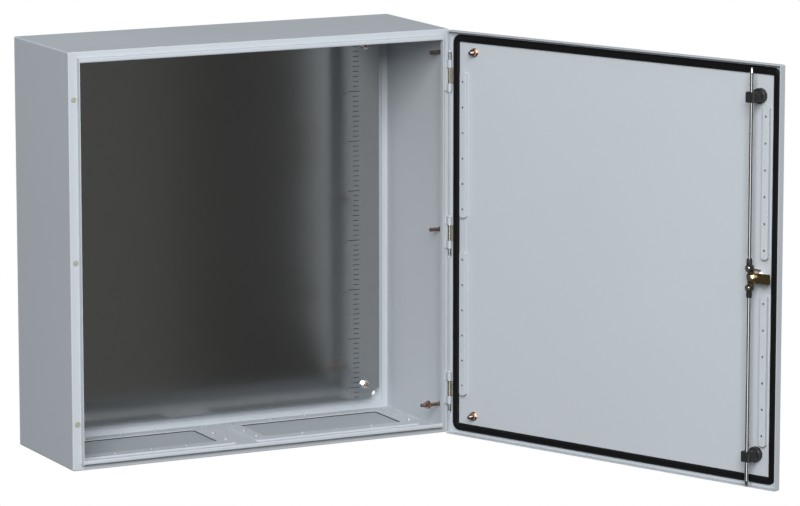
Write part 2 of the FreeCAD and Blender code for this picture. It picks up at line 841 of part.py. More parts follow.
def crank_plate():
    """Double crank: a waisted plate with an eye for each rod pin."""
    thick = crank_thickness
    half = crank_width / 2
    eyes = [rod(Vector(lock_x, crank_y, z), Y, half, thick) for z in (-crank_radius, crank_radius)]
    bar = block(
        (lock_x - half, lock_x + half), (crank_y, crank_y + thick), (-crank_radius, crank_radius))
    hub = rod(Vector(lock_x, crank_y, 0), Y, crank_hub / 2, thick)
    plate = bar.multiFuse(eyes + [hub]).cut(cam_square_bar(crank_y, crank_y + thick))
    for z in (-crank_radius, crank_radius):
        plate = plate.cut(rod(Vector(lock_x, crank_y, z), Y, crank_pin / 2, thick))
    return plate


def crank_pins():
    """Headed pins that carry the rods' end pieces."""
    pins = []
    head_y = rod_end_y + rod_end_thickness + end_clearance
    for z in (-crank_radius, crank_radius):
        shank = rod(Vector(lock_x, crank_y, z), Y, crank_pin / 2, head_y - crank_y)
        head = rod(Vector(lock_x, head_y, z), Y, crank_pin_head / 2, crank_pin_head_height)
        rim = [edge for edge in head.Edges if edge.BoundBox.YMin > head_y + crank_pin_head_height / 2]
        pins.append(shank.fuse(head.makeChamfer(crank_pin_chamfer, rim)))
    return Part.makeCompound(pins)


def cam_screw():
    """Screw and its washer face, which clamp tongue and crank on the square."""
    seat = Vector(lock_x, crank_y + crank_thickness, 0)
    head = hexagon(seat, Y, cam_screw_flats, cam_screw_height)
    return head.fuse(rod(seat, Y, cam_screw_head / 2, cam_screw_flange))


# Rods

def rod_end(side):
    """Moulded end piece: an eye on the crank pin and a tapering socket for the rod."""
    pin = Vector(lock_x, rod_end_y, side * crank_radius)
    eye = rod(pin, Y, rod_end_diameter / 2, rod_end_thickness)
    centre = Vector(lock_x, rod_y, side * crank_radius)
    socket = Part.makeCone(rod_end_root / 2, rod_end_neck / 2, rod_end_length, centre, Z * side)
    slab = block(
        (lock_x - rod_end_diameter / 2, lock_x + rod_end_diameter / 2),
        (rod_end_y, rod_end_y + rod_end_thickness),
        sorted((side * crank_radius, side * (crank_radius + rod_end_length))))
    body = eye.multiFuse([socket.common(slab), rod_neck(side)])
    body = body.cut(rod(pin, Y, crank_pin / 2 + running_clearance, rod_end_thickness))
    return body.cut(rod(rod_start(side), Z * side, rod_diameter / 2, rod_socket))


def rod_neck(side):
    """Round collar where the rod leaves its end piece."""
    start = rod_start(side) + Z * side * rod_end_collar_start
    length = rod_socket - rod_end_collar_start
    return Part.makeCone(rod_end_collar / 2, rod_end_neck / 2, length, start, Z * side)


def rod_start(side):
    return Vector(lock_x, rod_y, side * (crank_radius + rod_end_length - rod_socket))


def locking_rod(side):
    """Round bar with a tapered tip that slides behind the body's flange."""
    start = rod_start(side)
    straight = rod_tip - rod_tip_taper - abs(start.z)
    bar = rod(start, Z * side, rod_diameter / 2, straight)
    taper_start = start + Z * side * straight
    tip = Part.makeCone(rod_diameter / 2, rod_tip_diameter / 2, rod_tip_taper, taper_start, Z * side)
    return bar.fuse(tip)


def rod_guide(side):
    """Moulded guide: a round foot on the door and a block with a slot for the rod."""
    base = Vector(lock_x, door_inner_y, side * guide_height)
    foot = rod(base, Y, guide_disc / 2, guide_disc_height)
    rim = [edge for edge in foot.Edges if edge.BoundBox.YMin > door_inner_y + guide_disc_height / 2]
    foot = foot.makeChamfer(guide_foot_chamfer, rim)
    top_y = rod_y + rod_diameter / 2 + guide_clearance + guide_wall
    reach = guide_block_width / 2
    z_range = (base.z - guide_block_height / 2, base.z + guide_block_height / 2)
    post = block(
        (lock_x - reach, lock_x + reach), (door_inner_y + guide_post_sink, top_y), z_range)
    corners = [edge for edge in edges_along(post, Z) if edge.BoundBox.YMin > rod_y]
    post = post.makeFillet(guide_post_corner, corners)
    play = rod_diameter / 2 + guide_clearance
    slot = block(
        (lock_x - guide_side_play, lock_x + guide_side_play), (rod_y - play, rod_y + play), z_range)
    for x in (lock_x - guide_side_play, lock_x + guide_side_play):
        slot = slot.fuse(rod(Vector(x, rod_y, z_range[0]), Z, play, guide_block_height))
    stud_hole = rod(base, Y, guide_stud / 2 + running_clearance, guide_stud_length + 1)
    return foot.fuse(post).cut(slot).cut(stud_hole)


def guide_studs():
    """Weld studs that the rod guides are pressed on to."""
    studs = [rod(Vector(lock_x, door_inner_y, side * guide_height), Y, guide_stud / 2, guide_stud_length)
             for side in (-1, 1)]
    return Part.makeCompound(studs)


def save_body():
    save("body_wrap", body_wrap())
    save("rear_panel", rear_panel())
    save("mounting_plate", mounting_plate())
    save("plate_studs", plate_studs())
    save("plate_washers", plate_washers())
    save("plate_nuts", plate_nuts())
    for name, side in (("left", -1), ("right", 1)):
        save("gland_plate_" + name, gland_plate(side * gland_centre_x))
        save("gland_gasket_" + name, gland_gasket(side * gland_centre_x))
        save("gland_screws_" + name, gland_screws(side * gland_centre_x))
    save("side_studs_left", side_studs_left())
    save("side_studs_right", side_studs_right())
    save("side_earth_washer", side_earth_washer())
    save("side_earth_nut", side_earth_nut())
    save("hinge_blanking_plugs", hinge_blanking_plugs())
    save("hinge_bracket_bolts", hinge_bracket_bolts())
    for name, z in hinge_heights.items():
        save("hinge_bracket_" + name, hinge_bracket(z))
        save("hinge_pin_" + name, hinge_pin(z, hinge_grip(name)))


def save_door():
    closed = {
        "door_panel": door_panel(),
        "door_gasket": door_gasket(),
        "rail_hinge_upper": door_rail(rail_hinge_x),
        "rail_hinge_lower": mirror_z(door_rail(rail_hinge_x)),
        "rail_hinge_link": rail_hinge_link(),
        "rail_lock_upper": door_rail(rail_lock_x),
        "rail_lock_lower": mirror_z(door_rail(rail_lock_x)),
        "door_earth_studs": door_earth_studs(),
        "door_earth_washers": door_earth_washers(),
        "door_earth_nuts": door_earth_nuts(),
        "lock_housing": lock_housing(),
        "lock_gasket": lock_gasket(),
        "lock_ring_nut": lock_ring_nut(),
        "lock_insert": lock_insert(),
        "cam_tongue": cam_tongue(),
        "crank_plate": crank_plate(),
        "crank_pins": crank_pins(),
        "cam_screw": cam_screw(),
        "guide_studs": guide_studs(),
    }
    for name, z in hinge_heights.items():
        closed["hinge_barrel_" + name] = hinge_barrel(z)
    for name, side in (("upper", 1), ("lower", -1)):
        closed["rod_guide_" + name] = rod_guide(side)
        closed[name + "_rod"] = locking_rod(side)
        closed[name + "_rod_end"] = rod_end(side)
    for name, shape in closed.items():
        save(name, opened(shape))


os.makedirs("parts", exist_ok=True)
save_body()
save_door()
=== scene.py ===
import json
import math
from functools import partial

import bmesh
import bpy
from bpy.props import FloatProperty, FloatVectorProperty, IntProperty, PointerProperty
from mathutils import Matrix, Vector


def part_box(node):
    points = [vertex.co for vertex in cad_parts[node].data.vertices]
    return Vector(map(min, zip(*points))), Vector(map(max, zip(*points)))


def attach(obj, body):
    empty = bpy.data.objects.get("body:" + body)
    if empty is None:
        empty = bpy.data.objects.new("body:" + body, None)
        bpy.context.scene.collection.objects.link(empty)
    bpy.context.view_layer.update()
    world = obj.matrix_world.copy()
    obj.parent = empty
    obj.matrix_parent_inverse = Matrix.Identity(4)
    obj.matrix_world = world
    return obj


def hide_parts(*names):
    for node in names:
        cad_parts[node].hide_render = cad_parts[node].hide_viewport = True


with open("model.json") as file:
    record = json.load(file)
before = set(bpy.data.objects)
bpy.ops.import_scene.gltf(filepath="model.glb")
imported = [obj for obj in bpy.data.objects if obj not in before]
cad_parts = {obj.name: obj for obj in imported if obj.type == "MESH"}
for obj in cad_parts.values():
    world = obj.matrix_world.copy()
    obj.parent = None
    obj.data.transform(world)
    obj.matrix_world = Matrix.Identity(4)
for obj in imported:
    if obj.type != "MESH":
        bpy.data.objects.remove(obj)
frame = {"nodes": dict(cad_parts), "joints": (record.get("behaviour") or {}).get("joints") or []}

bl_info = {
    "name": "Steel wall enclosure",
    "version": (1, 0, 0),
    "blender": (4, 5, 0),
    "location": "3D View > Sidebar > Enclosure",
    "description": "Finishes, threads, seal and scale of a sheet-steel wall enclosure",
    "category": "Object",
}

MM = 0.001

# Where things are, in metres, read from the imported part
DOOR_SWING = next(joint for joint in frame["joints"] if joint["name"] == "door_swing")
HINGE_LINE = Vector(DOOR_SWING["pos_m"])
OPEN_ANGLE = math.radians(-DOOR_SWING["range_deg"][0])
PLATE_LOW, PLATE_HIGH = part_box("mounting_plate")
BODY_LOW, BODY_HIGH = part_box("body_wrap")

# Inner skin of the closed door
DOOR_SKIN_Y = HINGE_LINE.y - 5.0 * MM


# Sizes and colours that a user may change

Length = partial(FloatProperty, unit="LENGTH", precision=5)
Power = partial(FloatProperty, unit="POWER")
Angle = partial(FloatProperty, unit="ROTATION")
Strength = partial(FloatProperty, min=0.0)
Roughness = partial(FloatProperty, subtype="FACTOR", min=0.0, max=1.0)
Colour = partial(FloatVectorProperty, subtype="COLOR", size=3, min=0.0, max=1.0)


class EnclosureStage(bpy.types.PropertyGroup):
    key_power: Power(
        name="Softbox", description="Power of the large light above the camera", default=815.0)
    key_size: Length(
        name="Softbox size", description="Side of the large light", default=4.6)
    key_distance: Length(
        name="Softbox distance", description="From the object to the large light", default=9.0)
    key_azimuth: Angle(
        name="Softbox azimuth", description="Left of the front", default=math.radians(28.0))
    key_elevation: Angle(
        name="Softbox elevation", description="Above the horizon", default=math.radians(28.0))
    ambient: Strength(
        name="Ambient", description="Strength of the even light from all round", default=0.47)
    card: Power(
        name="Reflected wall", description="Power of the wide card that only gloss shows", default=32.0)
    plate_card: Power(
        name="Reflected panel", description="Power of the dim card that the mounting plate shows",
        default=0.30)
    reflected_room: Strength(
        name="Reflected room", description="Brightness of the dark room that gloss shows", default=0.062)
    floor_drop: Length(
        name="Floor", description="How far the floor lies below the middle of the box", default=1.4)
    focal_length: FloatProperty(
        name="Focal length", description="Lens of the camera, on a 36 mm wide sensor",
        default=206.63, unit="CAMERA")


class EnclosureFinish(bpy.types.PropertyGroup):
    paint: Colour(
        name="Paint", description="Body, rear panel, door, rails, hinge brackets and their bolts",
        default=(0.535, 0.572, 0.610))
    gland_paint: Colour(
        name="Gland plate paint", description="Powder coat of the loose gland plates",
        default=(0.41, 0.45, 0.485))
    paint_roughness: Roughness(
        name="Paint roughness", description="Gloss of the powder coat", default=0.46)
    zinc_sheet: Colour(
        name="Galvanised sheet", description="Mounting plate", default=(0.44, 0.44, 0.435))
    zinc_roughness: Roughness(
        name="Sheet roughness", description="Blur of what the mounting plate reflects", default=0.14)
    copper: Colour(
        name="Copper plating", description="Plate studs, and the earthing studs' nuts and washers",
        default=(0.66, 0.45, 0.36))
    # Duller copper for the earthing studs' threads, whose darkness is painted shade of the thread grooves
    dark_copper: Colour(
        name="Copper with painted groove shade", description="Earthing studs", default=(0.32, 0.25, 0.225))
    bright_zinc: Colour(
        name="Bright zinc", description="Hinge barrels", default=(0.80, 0.77, 0.69))
    white_zinc: Colour(
        name="White zinc", default=(0.90, 0.91, 0.92),
        description="Hinge pins, rods, screws, guide studs, lock nut, and the plate's nuts and washers")
    passivated: Colour(
        name="Yellow passivated zinc", description="Lock tongue and crank", default=(0.46, 0.34, 0.17))
    pale_passivated: Colour(
        name="Pale passivated zinc", description="Crank pins", default=(0.88, 0.82, 0.62))
    lock_steel: Colour(
        name="Lock insert", description="The lock's insert and housing", default=(0.74, 0.68, 0.62))
    plastic: Colour(
        name="Black plastic", description="Rod guides and rod ends", default=(0.018, 0.018, 0.019))
    plug: Colour(
        name="Blanking plugs", description="Moulded plugs of the unused hinge holes",
        default=(0.37, 0.39, 0.32))
    rubber: Colour(
        name="Rubber", description="Gaskets of the gland plates and the lock", default=(0.03, 0.03, 0.031))
    seal: Colour(
        name="Foamed seal", description="Seal round the door", default=(0.0045, 0.0045, 0.005))
    ink: Colour(
        name="Scale ink", description="Ticks of the plate's scale", default=(0.012, 0.013, 0.014))
    faint_ink: Colour(
        name="Figure ink", description="Numbers of the plate's scale", default=(0.085, 0.090, 0.095))


class EnclosureSizes(bpy.types.PropertyGroup):
    stud_pitch: Length(
        name="M8 thread pitch", description="Pitch of the coppered studs", default=1.25 * MM)
    screw_pitch: Length(
        name="M5 thread pitch", description="Pitch of the gland screws", default=0.8 * MM)
    thread_sides: IntProperty(
        name="Thread sides", description="Corners round one turn of a stud's thread", default=20, min=8)
    tick_pitch: Length(
        name="Scale division", description="Distance between two ticks of the scale", default=10.0 * MM)
    tick_width: Length(
        name="Tick width", description="Thickness of a tick's line", default=1.2 * MM)
    figure_height: Length(
        name="Figure height", description="Height of the numbers on the scale", default=4.0 * MM)
    seal_width: Length(
        name="Seal width", description="Width of the foamed bead", default=15.0 * MM)
    seal_swell: Length(
        name="Seal unevenness", description="How far the foamed bead rises and falls", default=0.15 * MM)


# Wiring of node trees

FLOAT, WHOLE, VECTOR = "NodeSocketFloat", "NodeSocketInt", "NodeSocketVector"
WHITE = (1.0, 1.0, 1.0, 1.0)


class Wiring:
    """Adds nodes to one tree and joins their sockets."""

    def __init__(self, tree):
        self.tree = tree

    def put(self, value, socket):
        if isinstance(value, bpy.types.NodeSocket):
            self.tree.links.new(value, socket)
        else:
            socket.default_value = value

    def node(self, kind, sockets=None, **settings):
        """A node with its settings, and its sockets filled by name or number."""
        made = self.tree.nodes.new(kind)
        for key, value in settings.items():
            setattr(made, key, value)
        for key, value in (sockets or {}).items():
            self.put(value, made.inputs[key])
        return made

    def math(self, operation, *values):
        return self.node("ShaderNodeMath", dict(enumerate(values)), operation=operation).outputs[0]

    def plus(self, first, second):
        return self.math("ADD", first, second)

    def minus(self, first, second):
        return self.math("SUBTRACT", first, second)

    def times(self, first, second):
        return self.math("MULTIPLY", first, second)

    def over(self, first, second):
        return self.math("DIVIDE", first, second)

    def per(self, size):
        """Scale of a texture whose features have a size in metres."""
        return self.over(1.0, size)

    def vector(self, x=0.0, y=0.0, z=0.0):
        return self.node("ShaderNodeCombineXYZ", {0: x, 1: y, 2: z}).outputs[0]

    def vector_math(self, operation, sockets):
        return self.node("ShaderNodeVectorMath", sockets, operation=operation).outputs[0]

    def noise(self, place, scale, detail, roughness=0.5, output="Fac"):
        sockets = {"Vector": place, "Scale": scale, "Detail": detail, "Roughness": roughness}
        return self.node("ShaderNodeTexNoise", sockets).outputs[output]

    def cells(self, place, scale, output):
        """Nearest cell of a Voronoi pattern."""
        return self.node("ShaderNodeTexVoronoi", {"Vector": place, "Scale": scale}).outputs[output]

    def remap(self, value, low, high, to_low=0.0, to_high=1.0):
        sockets = {"Value": value, "From Min": low, "From Max": high, "To Min": to_low, "To Max": to_high}
        return self.node("ShaderNodeMapRange", sockets).outputs[0]

    def tint(self, factor, first, second):
        """A colour between two colours."""
        made = self.node("ShaderNodeMix", {0: factor, 6: first, 7: second}, data_type="RGBA")
        return made.outputs[2]


def rgba(colour, gain=1.0):
    return (*(min(1.0, part * gain) for part in colour), 1.0)


# Shader effects

EFFECTS = {}


def shader_group(name, inputs, outputs):
    """An empty shader node group that reads a place, with named numbers in and values out."""
    group = bpy.data.node_groups.new(name, "ShaderNodeTree")
    group.interface.new_socket("Place", in_out="INPUT", socket_type=VECTOR)
    for label, value in inputs.items():
        kind = VECTOR if isinstance(value, tuple) else FLOAT
        group.interface.new_socket(label, in_out="INPUT", socket_type=kind).default_value = value
    for label in outputs:
        group.interface.new_socket(label, in_out="OUTPUT", socket_type=FLOAT)
    wiring = Wiring(group)
    return wiring, group.nodes.new("NodeGroupInput").outputs, group.nodes.new("NodeGroupOutput").inputs


def build_orange_peel():
    """Powder coat: a fine pebbled height, and a slow drift in tone."""
    wiring, given, made = shader_group(
        "orange peel", {"Cell": 2.4 * MM, "Drift": 300.0 * MM}, ["Height", "Tone"])
    fine_times_smaller, fine_share = 4.0, 0.25
    scale = wiring.per(given["Cell"])
    pebble = wiring.noise(given["Place"], scale, detail=1.5, roughness=0.45)
    fine = wiring.noise(given["Place"], wiring.times(scale, fine_times_smaller), detail=1.0)
    slow = wiring.noise(given["Place"], wiring.per(given["Drift"]), detail=2.0)
    wiring.put(wiring.plus(pebble, wiring.times(fine, fine_share)), made["Height"])
    wiring.put(slow, made["Tone"])
    return wiring.tree


def build_plating():
    """Electroplated metal: cloudy tone, fine drawn scratches and their height."""
    wiring, given, made = shader_group(
        "plating", {"Cloud": 12.0 * MM, "Scratch": 0.6 * MM, "Stretch": (1.0, 1.0, 0.05)},
        ["Tone", "Scratches", "Height"])
    cloud_share = 0.3
    cloud = wiring.noise(given["Place"], wiring.per(given["Cloud"]), detail=3.0)
    drawn = wiring.vector_math("MULTIPLY", {0: given["Place"], 1: given["Stretch"]})
    scratches = wiring.noise(drawn, wiring.per(given["Scratch"]), detail=2.0)
    wiring.put(cloud, made["Tone"])
    wiring.put(scratches, made["Scratches"])
    wiring.put(wiring.plus(scratches, wiring.times(cloud, cloud_share)), made["Height"])
    return wiring.tree


def build_spangle():
    """Galvanised sheet: flat crystals with slightly different tone, in a slow cloud."""
    wiring, given, made = shader_group(
        "zinc spangle", {"Crystal": 10.0 * MM, "Cloud": 160.0 * MM}, ["Tone", "Cloudiness", "Height"])
    warp_scale, warp_reach = 160.0, 4.0 * MM
    grain_scale, crystal_share = 1400.0, 0.3
    warp = wiring.noise(given["Place"], warp_scale, detail=2.0, output="Color")
    shift = wiring.vector_math("SCALE", {0: warp, "Scale": warp_reach})
    moved = wiring.vector_math("ADD", {0: given["Place"], 1: shift})
    crystals = wiring.cells(moved, wiring.per(given["Crystal"]), "Color")
    tones = wiring.node("ShaderNodeSeparateColor", {0: crystals}).outputs
    cloud = wiring.noise(given["Place"], wiring.per(given["Cloud"]), detail=3.0)
    grain = wiring.noise(given["Place"], grain_scale, detail=1.0)
    wiring.put(tones[0], made["Tone"])
    wiring.put(cloud, made["Cloudiness"])
    wiring.put(wiring.plus(wiring.times(tones[1], crystal_share), grain), made["Height"])
    return wiring.tree


def build_moulded_grain():
    """Moulded plastic: a fine even grain and a little dust in its tone."""
    wiring, given, made = shader_group("moulded grain", {"Grain": 0.5 * MM}, ["Height", "Dust"])
    dust_scale, dust_from, dust_to = 95.0, 0.42, 0.72
    grain = wiring.noise(given["Place"], wiring.per(given["Grain"]), detail=2.0)
    dust = wiring.noise(given["Place"], dust_scale, detail=4.0, roughness=0.65)
    wiring.put(grain, made["Height"])
    wiring.put(wiring.remap(dust, dust_from, dust_to), made["Dust"])
    return wiring.tree


def build_foam_skin():
    """Foamed seal: open pores in a soft skin."""
    wiring, given, made = shader_group("foam skin", {"Pore": 1.2 * MM}, ["Height", "Pores"])
    pore_floor, pore_rim, pore_share, skin_scale = 0.05, 0.35, 0.5, 0.2
    scale = wiring.per(given["Pore"])
    pores = wiring.remap(wiring.cells(given["Place"], scale, "Distance"), pore_floor, pore_rim)
    skin = wiring.noise(given["Place"], wiring.times(scale, skin_scale), detail=2.0)
    wiring.put(wiring.plus(wiring.times(pores, pore_share), skin), made["Height"])
    wiring.put(pores, made["Pores"])
    return wiring.tree


# Finishes

FINISHES = {}


class Finish:
    """A material, its shader and a shared effect. Values given replace the effect's own."""

    def __init__(self, name, effect, **values):
        self.material = bpy.data.materials.new(name)
        self.material.use_nodes = True
        self.wiring = Wiring(self.material.node_tree)
        self.shader = self.material.node_tree.nodes["Principled BSDF"]
        place = self.wiring.node("ShaderNodeTexCoord").outputs["Object"]
        self.effect = self.wiring.node("ShaderNodeGroup", node_tree=EFFECTS[effect])
        self.wiring.put(place, self.effect.inputs["Place"])
        for label, value in values.items():
            self.effect.inputs[label].default_value = value

    def plain(self, **values):
        """Values that are the same all over, by socket name with _ for a space."""
        for label, value in values.items():
            self.shader.inputs[label.replace("_", " ")].default_value = value

    def colour(self, output, colour, dark, light):
        """The colour, times dark to light as the effect's output goes from 0 to 1."""
        tinted = self.wiring.tint(self.effect.outputs[output], rgba(colour, dark), rgba(colour, light))
        self.wiring.put(tinted, self.shader.inputs["Base Color"])

    def roughness(self, output, start, end):
        """Roughness from start to end as the effect's output goes from 0 to 1."""
        varied = self.wiring.remap(self.effect.outputs[output], 0.0, 1.0, start, end)
        self.wiring.put(varied, self.shader.inputs["Roughness"])

    def bump(self, strength, distance):
        sockets = {"Height": self.effect.outputs["Height"], "Strength": strength, "Distance": distance}
        bump = self.wiring.node("ShaderNodeBump", sockets)
        self.wiring.put(bump.outputs["Normal"], self.shader.inputs["Normal"])


def powder_coat(name, colour, roughness):
    """Satin paint with orange peel."""
    finish = Finish(name, "orange peel")
    finish.plain(Metallic=0.0, Specular_IOR_Level=0.35)
    finish.colour("Tone", colour, dark=0.975, light=1.025)
    finish.roughness("Tone", start=roughness - 0.04, end=roughness + 0.04)
    finish.bump(strength=0.35, distance=0.06 * MM)
    return finish.material


# Factors on the place in a scratch pattern, which draw the scratches out upright or level
UPRIGHT = (1.0, 1.0, 0.06)
LEVEL = (0.25, 0.25, 1.0)


def plated(name, colour, roughness, shade, cloud, stretch=LEVEL):
    """Plated metal whose tone clouds from a darker shade to the full colour."""
    finish = Finish(name, "plating", Cloud=cloud, Stretch=stretch)
    finish.plain(Metallic=1.0)
    finish.colour("Tone", colour, dark=shade, light=1.08)
    finish.roughness("Scratches", start=roughness - 0.025, end=roughness + 0.03)
    finish.bump(strength=0.02, distance=0.01 * MM)
    return finish.material


def galvanised(name, colour, roughness):
    """Hot-dip zinc on a flat sheet."""
    finish = Finish(name, "zinc spangle")
    finish.plain(Metallic=1.0)
    finish.colour("Tone", colour, dark=0.98, light=1.02)
    finish.roughness("Cloudiness", start=roughness - 0.015, end=roughness + 0.015)
    finish.bump(strength=0.03, distance=0.01 * MM)
    return finish.material


def moulded(name, colour, roughness, dusty):
    """Moulded plastic, rubber or ink, dusty in places."""
    finish = Finish(name, "moulded grain")
    finish.plain(Metallic=0.0, Specular_IOR_Level=0.4)
    finish.colour("Dust", colour, dark=1.0, light=dusty)
    finish.roughness("Dust", start=roughness, end=roughness + 0.12)
    finish.bump(strength=0.3, distance=0.05 * MM)
    return finish.material


def foamed(name, colour):
    """Soft foam with rougher pores, darker in them as painted shade of the pore hollows."""
    finish = Finish(name, "foam skin")
    finish.plain(Metallic=0.0, Specular_IOR_Level=0.22)
    # Darker in the pores than on the skin: painted shade in the pore hollows
    finish.colour("Pores", colour, dark=0.6, light=1.3)
    finish.roughness("Pores", start=0.62, end=0.48)
    finish.bump(strength=0.5, distance=0.15 * MM)
    return finish.material


def make_effects():
    """Every shared effect, by the name that the finishes use."""
    EFFECTS.update({
        "orange peel": build_orange_peel(), "plating": build_plating(), "zinc spangle": build_spangle(),
        "moulded grain": build_moulded_grain(), "foam skin": build_foam_skin()})


def make_finishes(chosen):
    """Every finish of the enclosure, by the plain name that the operators use."""
    gloss, white = chosen.paint_roughness, chosen.white_zinc
    FINISHES.update({
        "paint": powder_coat("light grey powder coat", chosen.paint, gloss),
        "gland paint": powder_coat("gland plate powder coat", chosen.gland_paint, gloss),
        "galvanised": galvanised("galvanised sheet", chosen.zinc_sheet, chosen.zinc_roughness),
        "copper": plated(
            "copper plated steel", chosen.copper, roughness=0.24, shade=0.62, cloud=10.0 * MM),
        # Duller, darker copper for the stud threads: the darkness is painted shade of their grooves
        "groove shaded copper": plated(
            "copper plated thread with painted groove shade", chosen.dark_copper,
            roughness=0.34, shade=0.62, cloud=10.0 * MM),
        "zinc": plated(
            "bright zinc plated steel", chosen.bright_zinc, roughness=0.17, shade=0.86, cloud=20.0 * MM),
        "white zinc": plated(
            "white zinc plated steel", white, roughness=0.22, shade=0.90, cloud=20.0 * MM),
        "dull zinc": plated(
            "dull zinc plated screw", white, roughness=0.48, shade=0.85, cloud=10.0 * MM),
        "rod steel": plated(
            "bright drawn rod", white, roughness=0.10, shade=0.90, cloud=50.0 * MM, stretch=UPRIGHT),
        "passivated": plated(
            "yellow passivated zinc", chosen.passivated, roughness=0.34, shade=0.75, cloud=12.0 * MM),
        "pale passivated": plated(
            "pale passivated zinc", chosen.pale_passivated, roughness=0.30, shade=0.80, cloud=12.0 * MM),
        "lock steel": plated(
            "dark passivated lock insert", chosen.lock_steel, roughness=0.30, shade=0.80, cloud=12.0 * MM),
        "black plastic": moulded(
            "black glass filled plastic", chosen.plastic, roughness=0.42, dusty=2.2),
        "plug plastic": moulded("beige plug plastic", chosen.plug, roughness=0.45, dusty=0.92),
        "rubber": moulded("black cellular rubber", chosen.rubber, roughness=0.75, dusty=1.5),
        "foam": foamed("foamed polyurethane seal", chosen.seal),
        "ink": moulded("dark scale ink", chosen.ink, roughness=0.5, dusty=1.3),
        "faint ink": moulded("faint figure ink", chosen.faint_ink, roughness=0.5, dusty=1.2),
    })


def finish_nodes(finish, *names):
    """Gives CAD nodes a finish."""
    for name in names:
        slots = frame["nodes"][name].data.materials
        slots.clear()
        slots.append(FINISHES[finish])


# Geometry Nodes

def geometry_tree(name, inputs):
    """An empty Geometry Nodes tree with named inputs, the last a material."""
    tree = bpy.data.node_groups.new(name, "GeometryNodeTree")
    tree.interface.new_socket("Geometry", in_out="OUTPUT", socket_type="NodeSocketGeometry")
    tree.interface.new_socket("Geometry", in_out="INPUT", socket_type="NodeSocketGeometry")
    for label, kind in {**inputs, "Material": "NodeSocketMaterial"}.items():
        tree.interface.new_socket(label, in_out="INPUT", socket_type=kind)
    return Wiring(tree), tree.nodes.new("NodeGroupInput").outputs


def finish_tree(wiring, given, instances):
    """Ends a tree with real geometry and its material."""
    solid = wiring.node("GeometryNodeRealizeInstances", {"Geometry": instances})
    painted = wiring.node(
        "GeometryNodeSetMaterial", {"Geometry": solid.outputs[0], "Material": given["Material"]})
    wiring.node("NodeGroupOutput", {"Geometry": painted.outputs[0]})
    return wiring.tree


def position(wiring):
    """X, Y and Z of each corner of a mesh."""
    place = wiring.node("GeometryNodeInputPosition").outputs[0]
    return wiring.node("ShaderNodeSeparateXYZ", {0: place}).outputs


def drawn_in(wiring, mesh, place, loss):
    """Moves a mesh towards its axis, by a share of the distance from it."""
    inward = [wiring.times(wiring.times(place[axis], loss), -1.0) for axis in (0, 1)]
    sockets = {"Geometry": mesh, "Offset": wiring.vector(*inward)}
    return wiring.node("GeometryNodeSetPosition", sockets).outputs[0]


def raised(wiring, mesh, height):
    sockets = {"Geometry": mesh, "Translation": wiring.vector(z=height)}
    return wiring.node("GeometryNodeTransform", sockets).outputs[0]


def standing_on_points(wiring, given, mesh, height):
    """Sets a centred mesh with its foot on every point, turned to the given direction."""
    foot_up = raised(wiring, mesh, wiring.times(height, 0.5))
    facing = wiring.node("FunctionNodeAlignRotationToVector", {"Vector": given["Direction"]}, axis="Z")
    return wiring.node("GeometryNodeInstanceOnPoints", {
        "Points": given["Geometry"], "Instance": foot_up, "Rotation": facing.outputs[0]}).outputs[0]


def thread_tree():
    """A threaded bar on every point: a rod whose radius follows a helix, chamfered at its ends."""
    wiring, given = geometry_tree("threaded bar", {
        "Diameter": FLOAT, "Pitch": FLOAT, "Length": FLOAT, "Sides": WHOLE, "Direction": VECTOR})
    rings_per_turn, depth_per_pitch = 8.0, 0.55
    radius = wiring.times(given["Diameter"], 0.5)
    rings = wiring.times(wiring.over(given["Length"], given["Pitch"]), rings_per_turn)
    bar = wiring.node("GeometryNodeMeshCylinder", {
        "Vertices": given["Sides"], "Side Segments": rings, "Radius": radius, "Depth": given["Length"]})
    place = position(wiring)
    angle = wiring.over(wiring.math("ARCTAN2", place[1], place[0]), 2 * math.pi)
    turn = wiring.math("FRACT", wiring.minus(wiring.over(place[2], given["Pitch"]), angle))
    valley = wiring.math("ABSOLUTE", wiring.minus(wiring.times(turn, 2.0), 1.0))
    cut = wiring.times(valley, wiring.times(given["Pitch"], depth_per_pitch))
    to_end = wiring.minus(wiring.times(given["Length"], 0.5), wiring.math("ABSOLUTE", place[2]))
    chamfer = wiring.math("MAXIMUM", wiring.minus(given["Pitch"], to_end), 0.0)
    loss = wiring.over(wiring.math("MAXIMUM", cut, chamfer), radius)
    threaded = drawn_in(wiring, bar.outputs["Mesh"], place, loss)
    return finish_tree(wiring, given, standing_on_points(wiring, given, threaded, given["Length"]))


def pan_head_tree():
    """A domed screw head with a cross recess on every point."""
    wiring, given = geometry_tree("pan head", {
        "Diameter": FLOAT, "Height": FLOAT, "Recess": FLOAT, "Direction": VECTOR})
    sides, rings = 28, 6
    dome_power, dome_loss = 3.0, 0.26
    slot_share, recess_up = 0.24, 0.45
    blank = wiring.node("GeometryNodeMeshCylinder", {
        "Vertices": sides, "Side Segments": rings,
        "Radius": wiring.times(given["Diameter"], 0.5), "Depth": given["Height"]})
    place = position(wiring)
    rise = wiring.plus(wiring.over(place[2], given["Height"]), 0.5)
    loss = wiring.times(wiring.math("POWER", rise, dome_power), dome_loss)
    domed = drawn_in(wiring, blank.outputs["Mesh"], place, loss)
    driven = wiring.node("GeometryNodeMeshBoolean", {"Mesh 1": domed}, operation="DIFFERENCE")
    slot = wiring.times(given["Recess"], slot_share)
    for x, y in ((given["Recess"], slot), (slot, given["Recess"])):
        arm = wiring.node("GeometryNodeMeshCube", {"Size": wiring.vector(x, y, given["Height"])})
        cutter = raised(wiring, arm.outputs["Mesh"], wiring.times(given["Height"], recess_up))
        wiring.tree.links.new(cutter, driven.inputs["Mesh 2"])
    return finish_tree(wiring, given, standing_on_points(wiring, given, driven.outputs[0], given["Height"]))


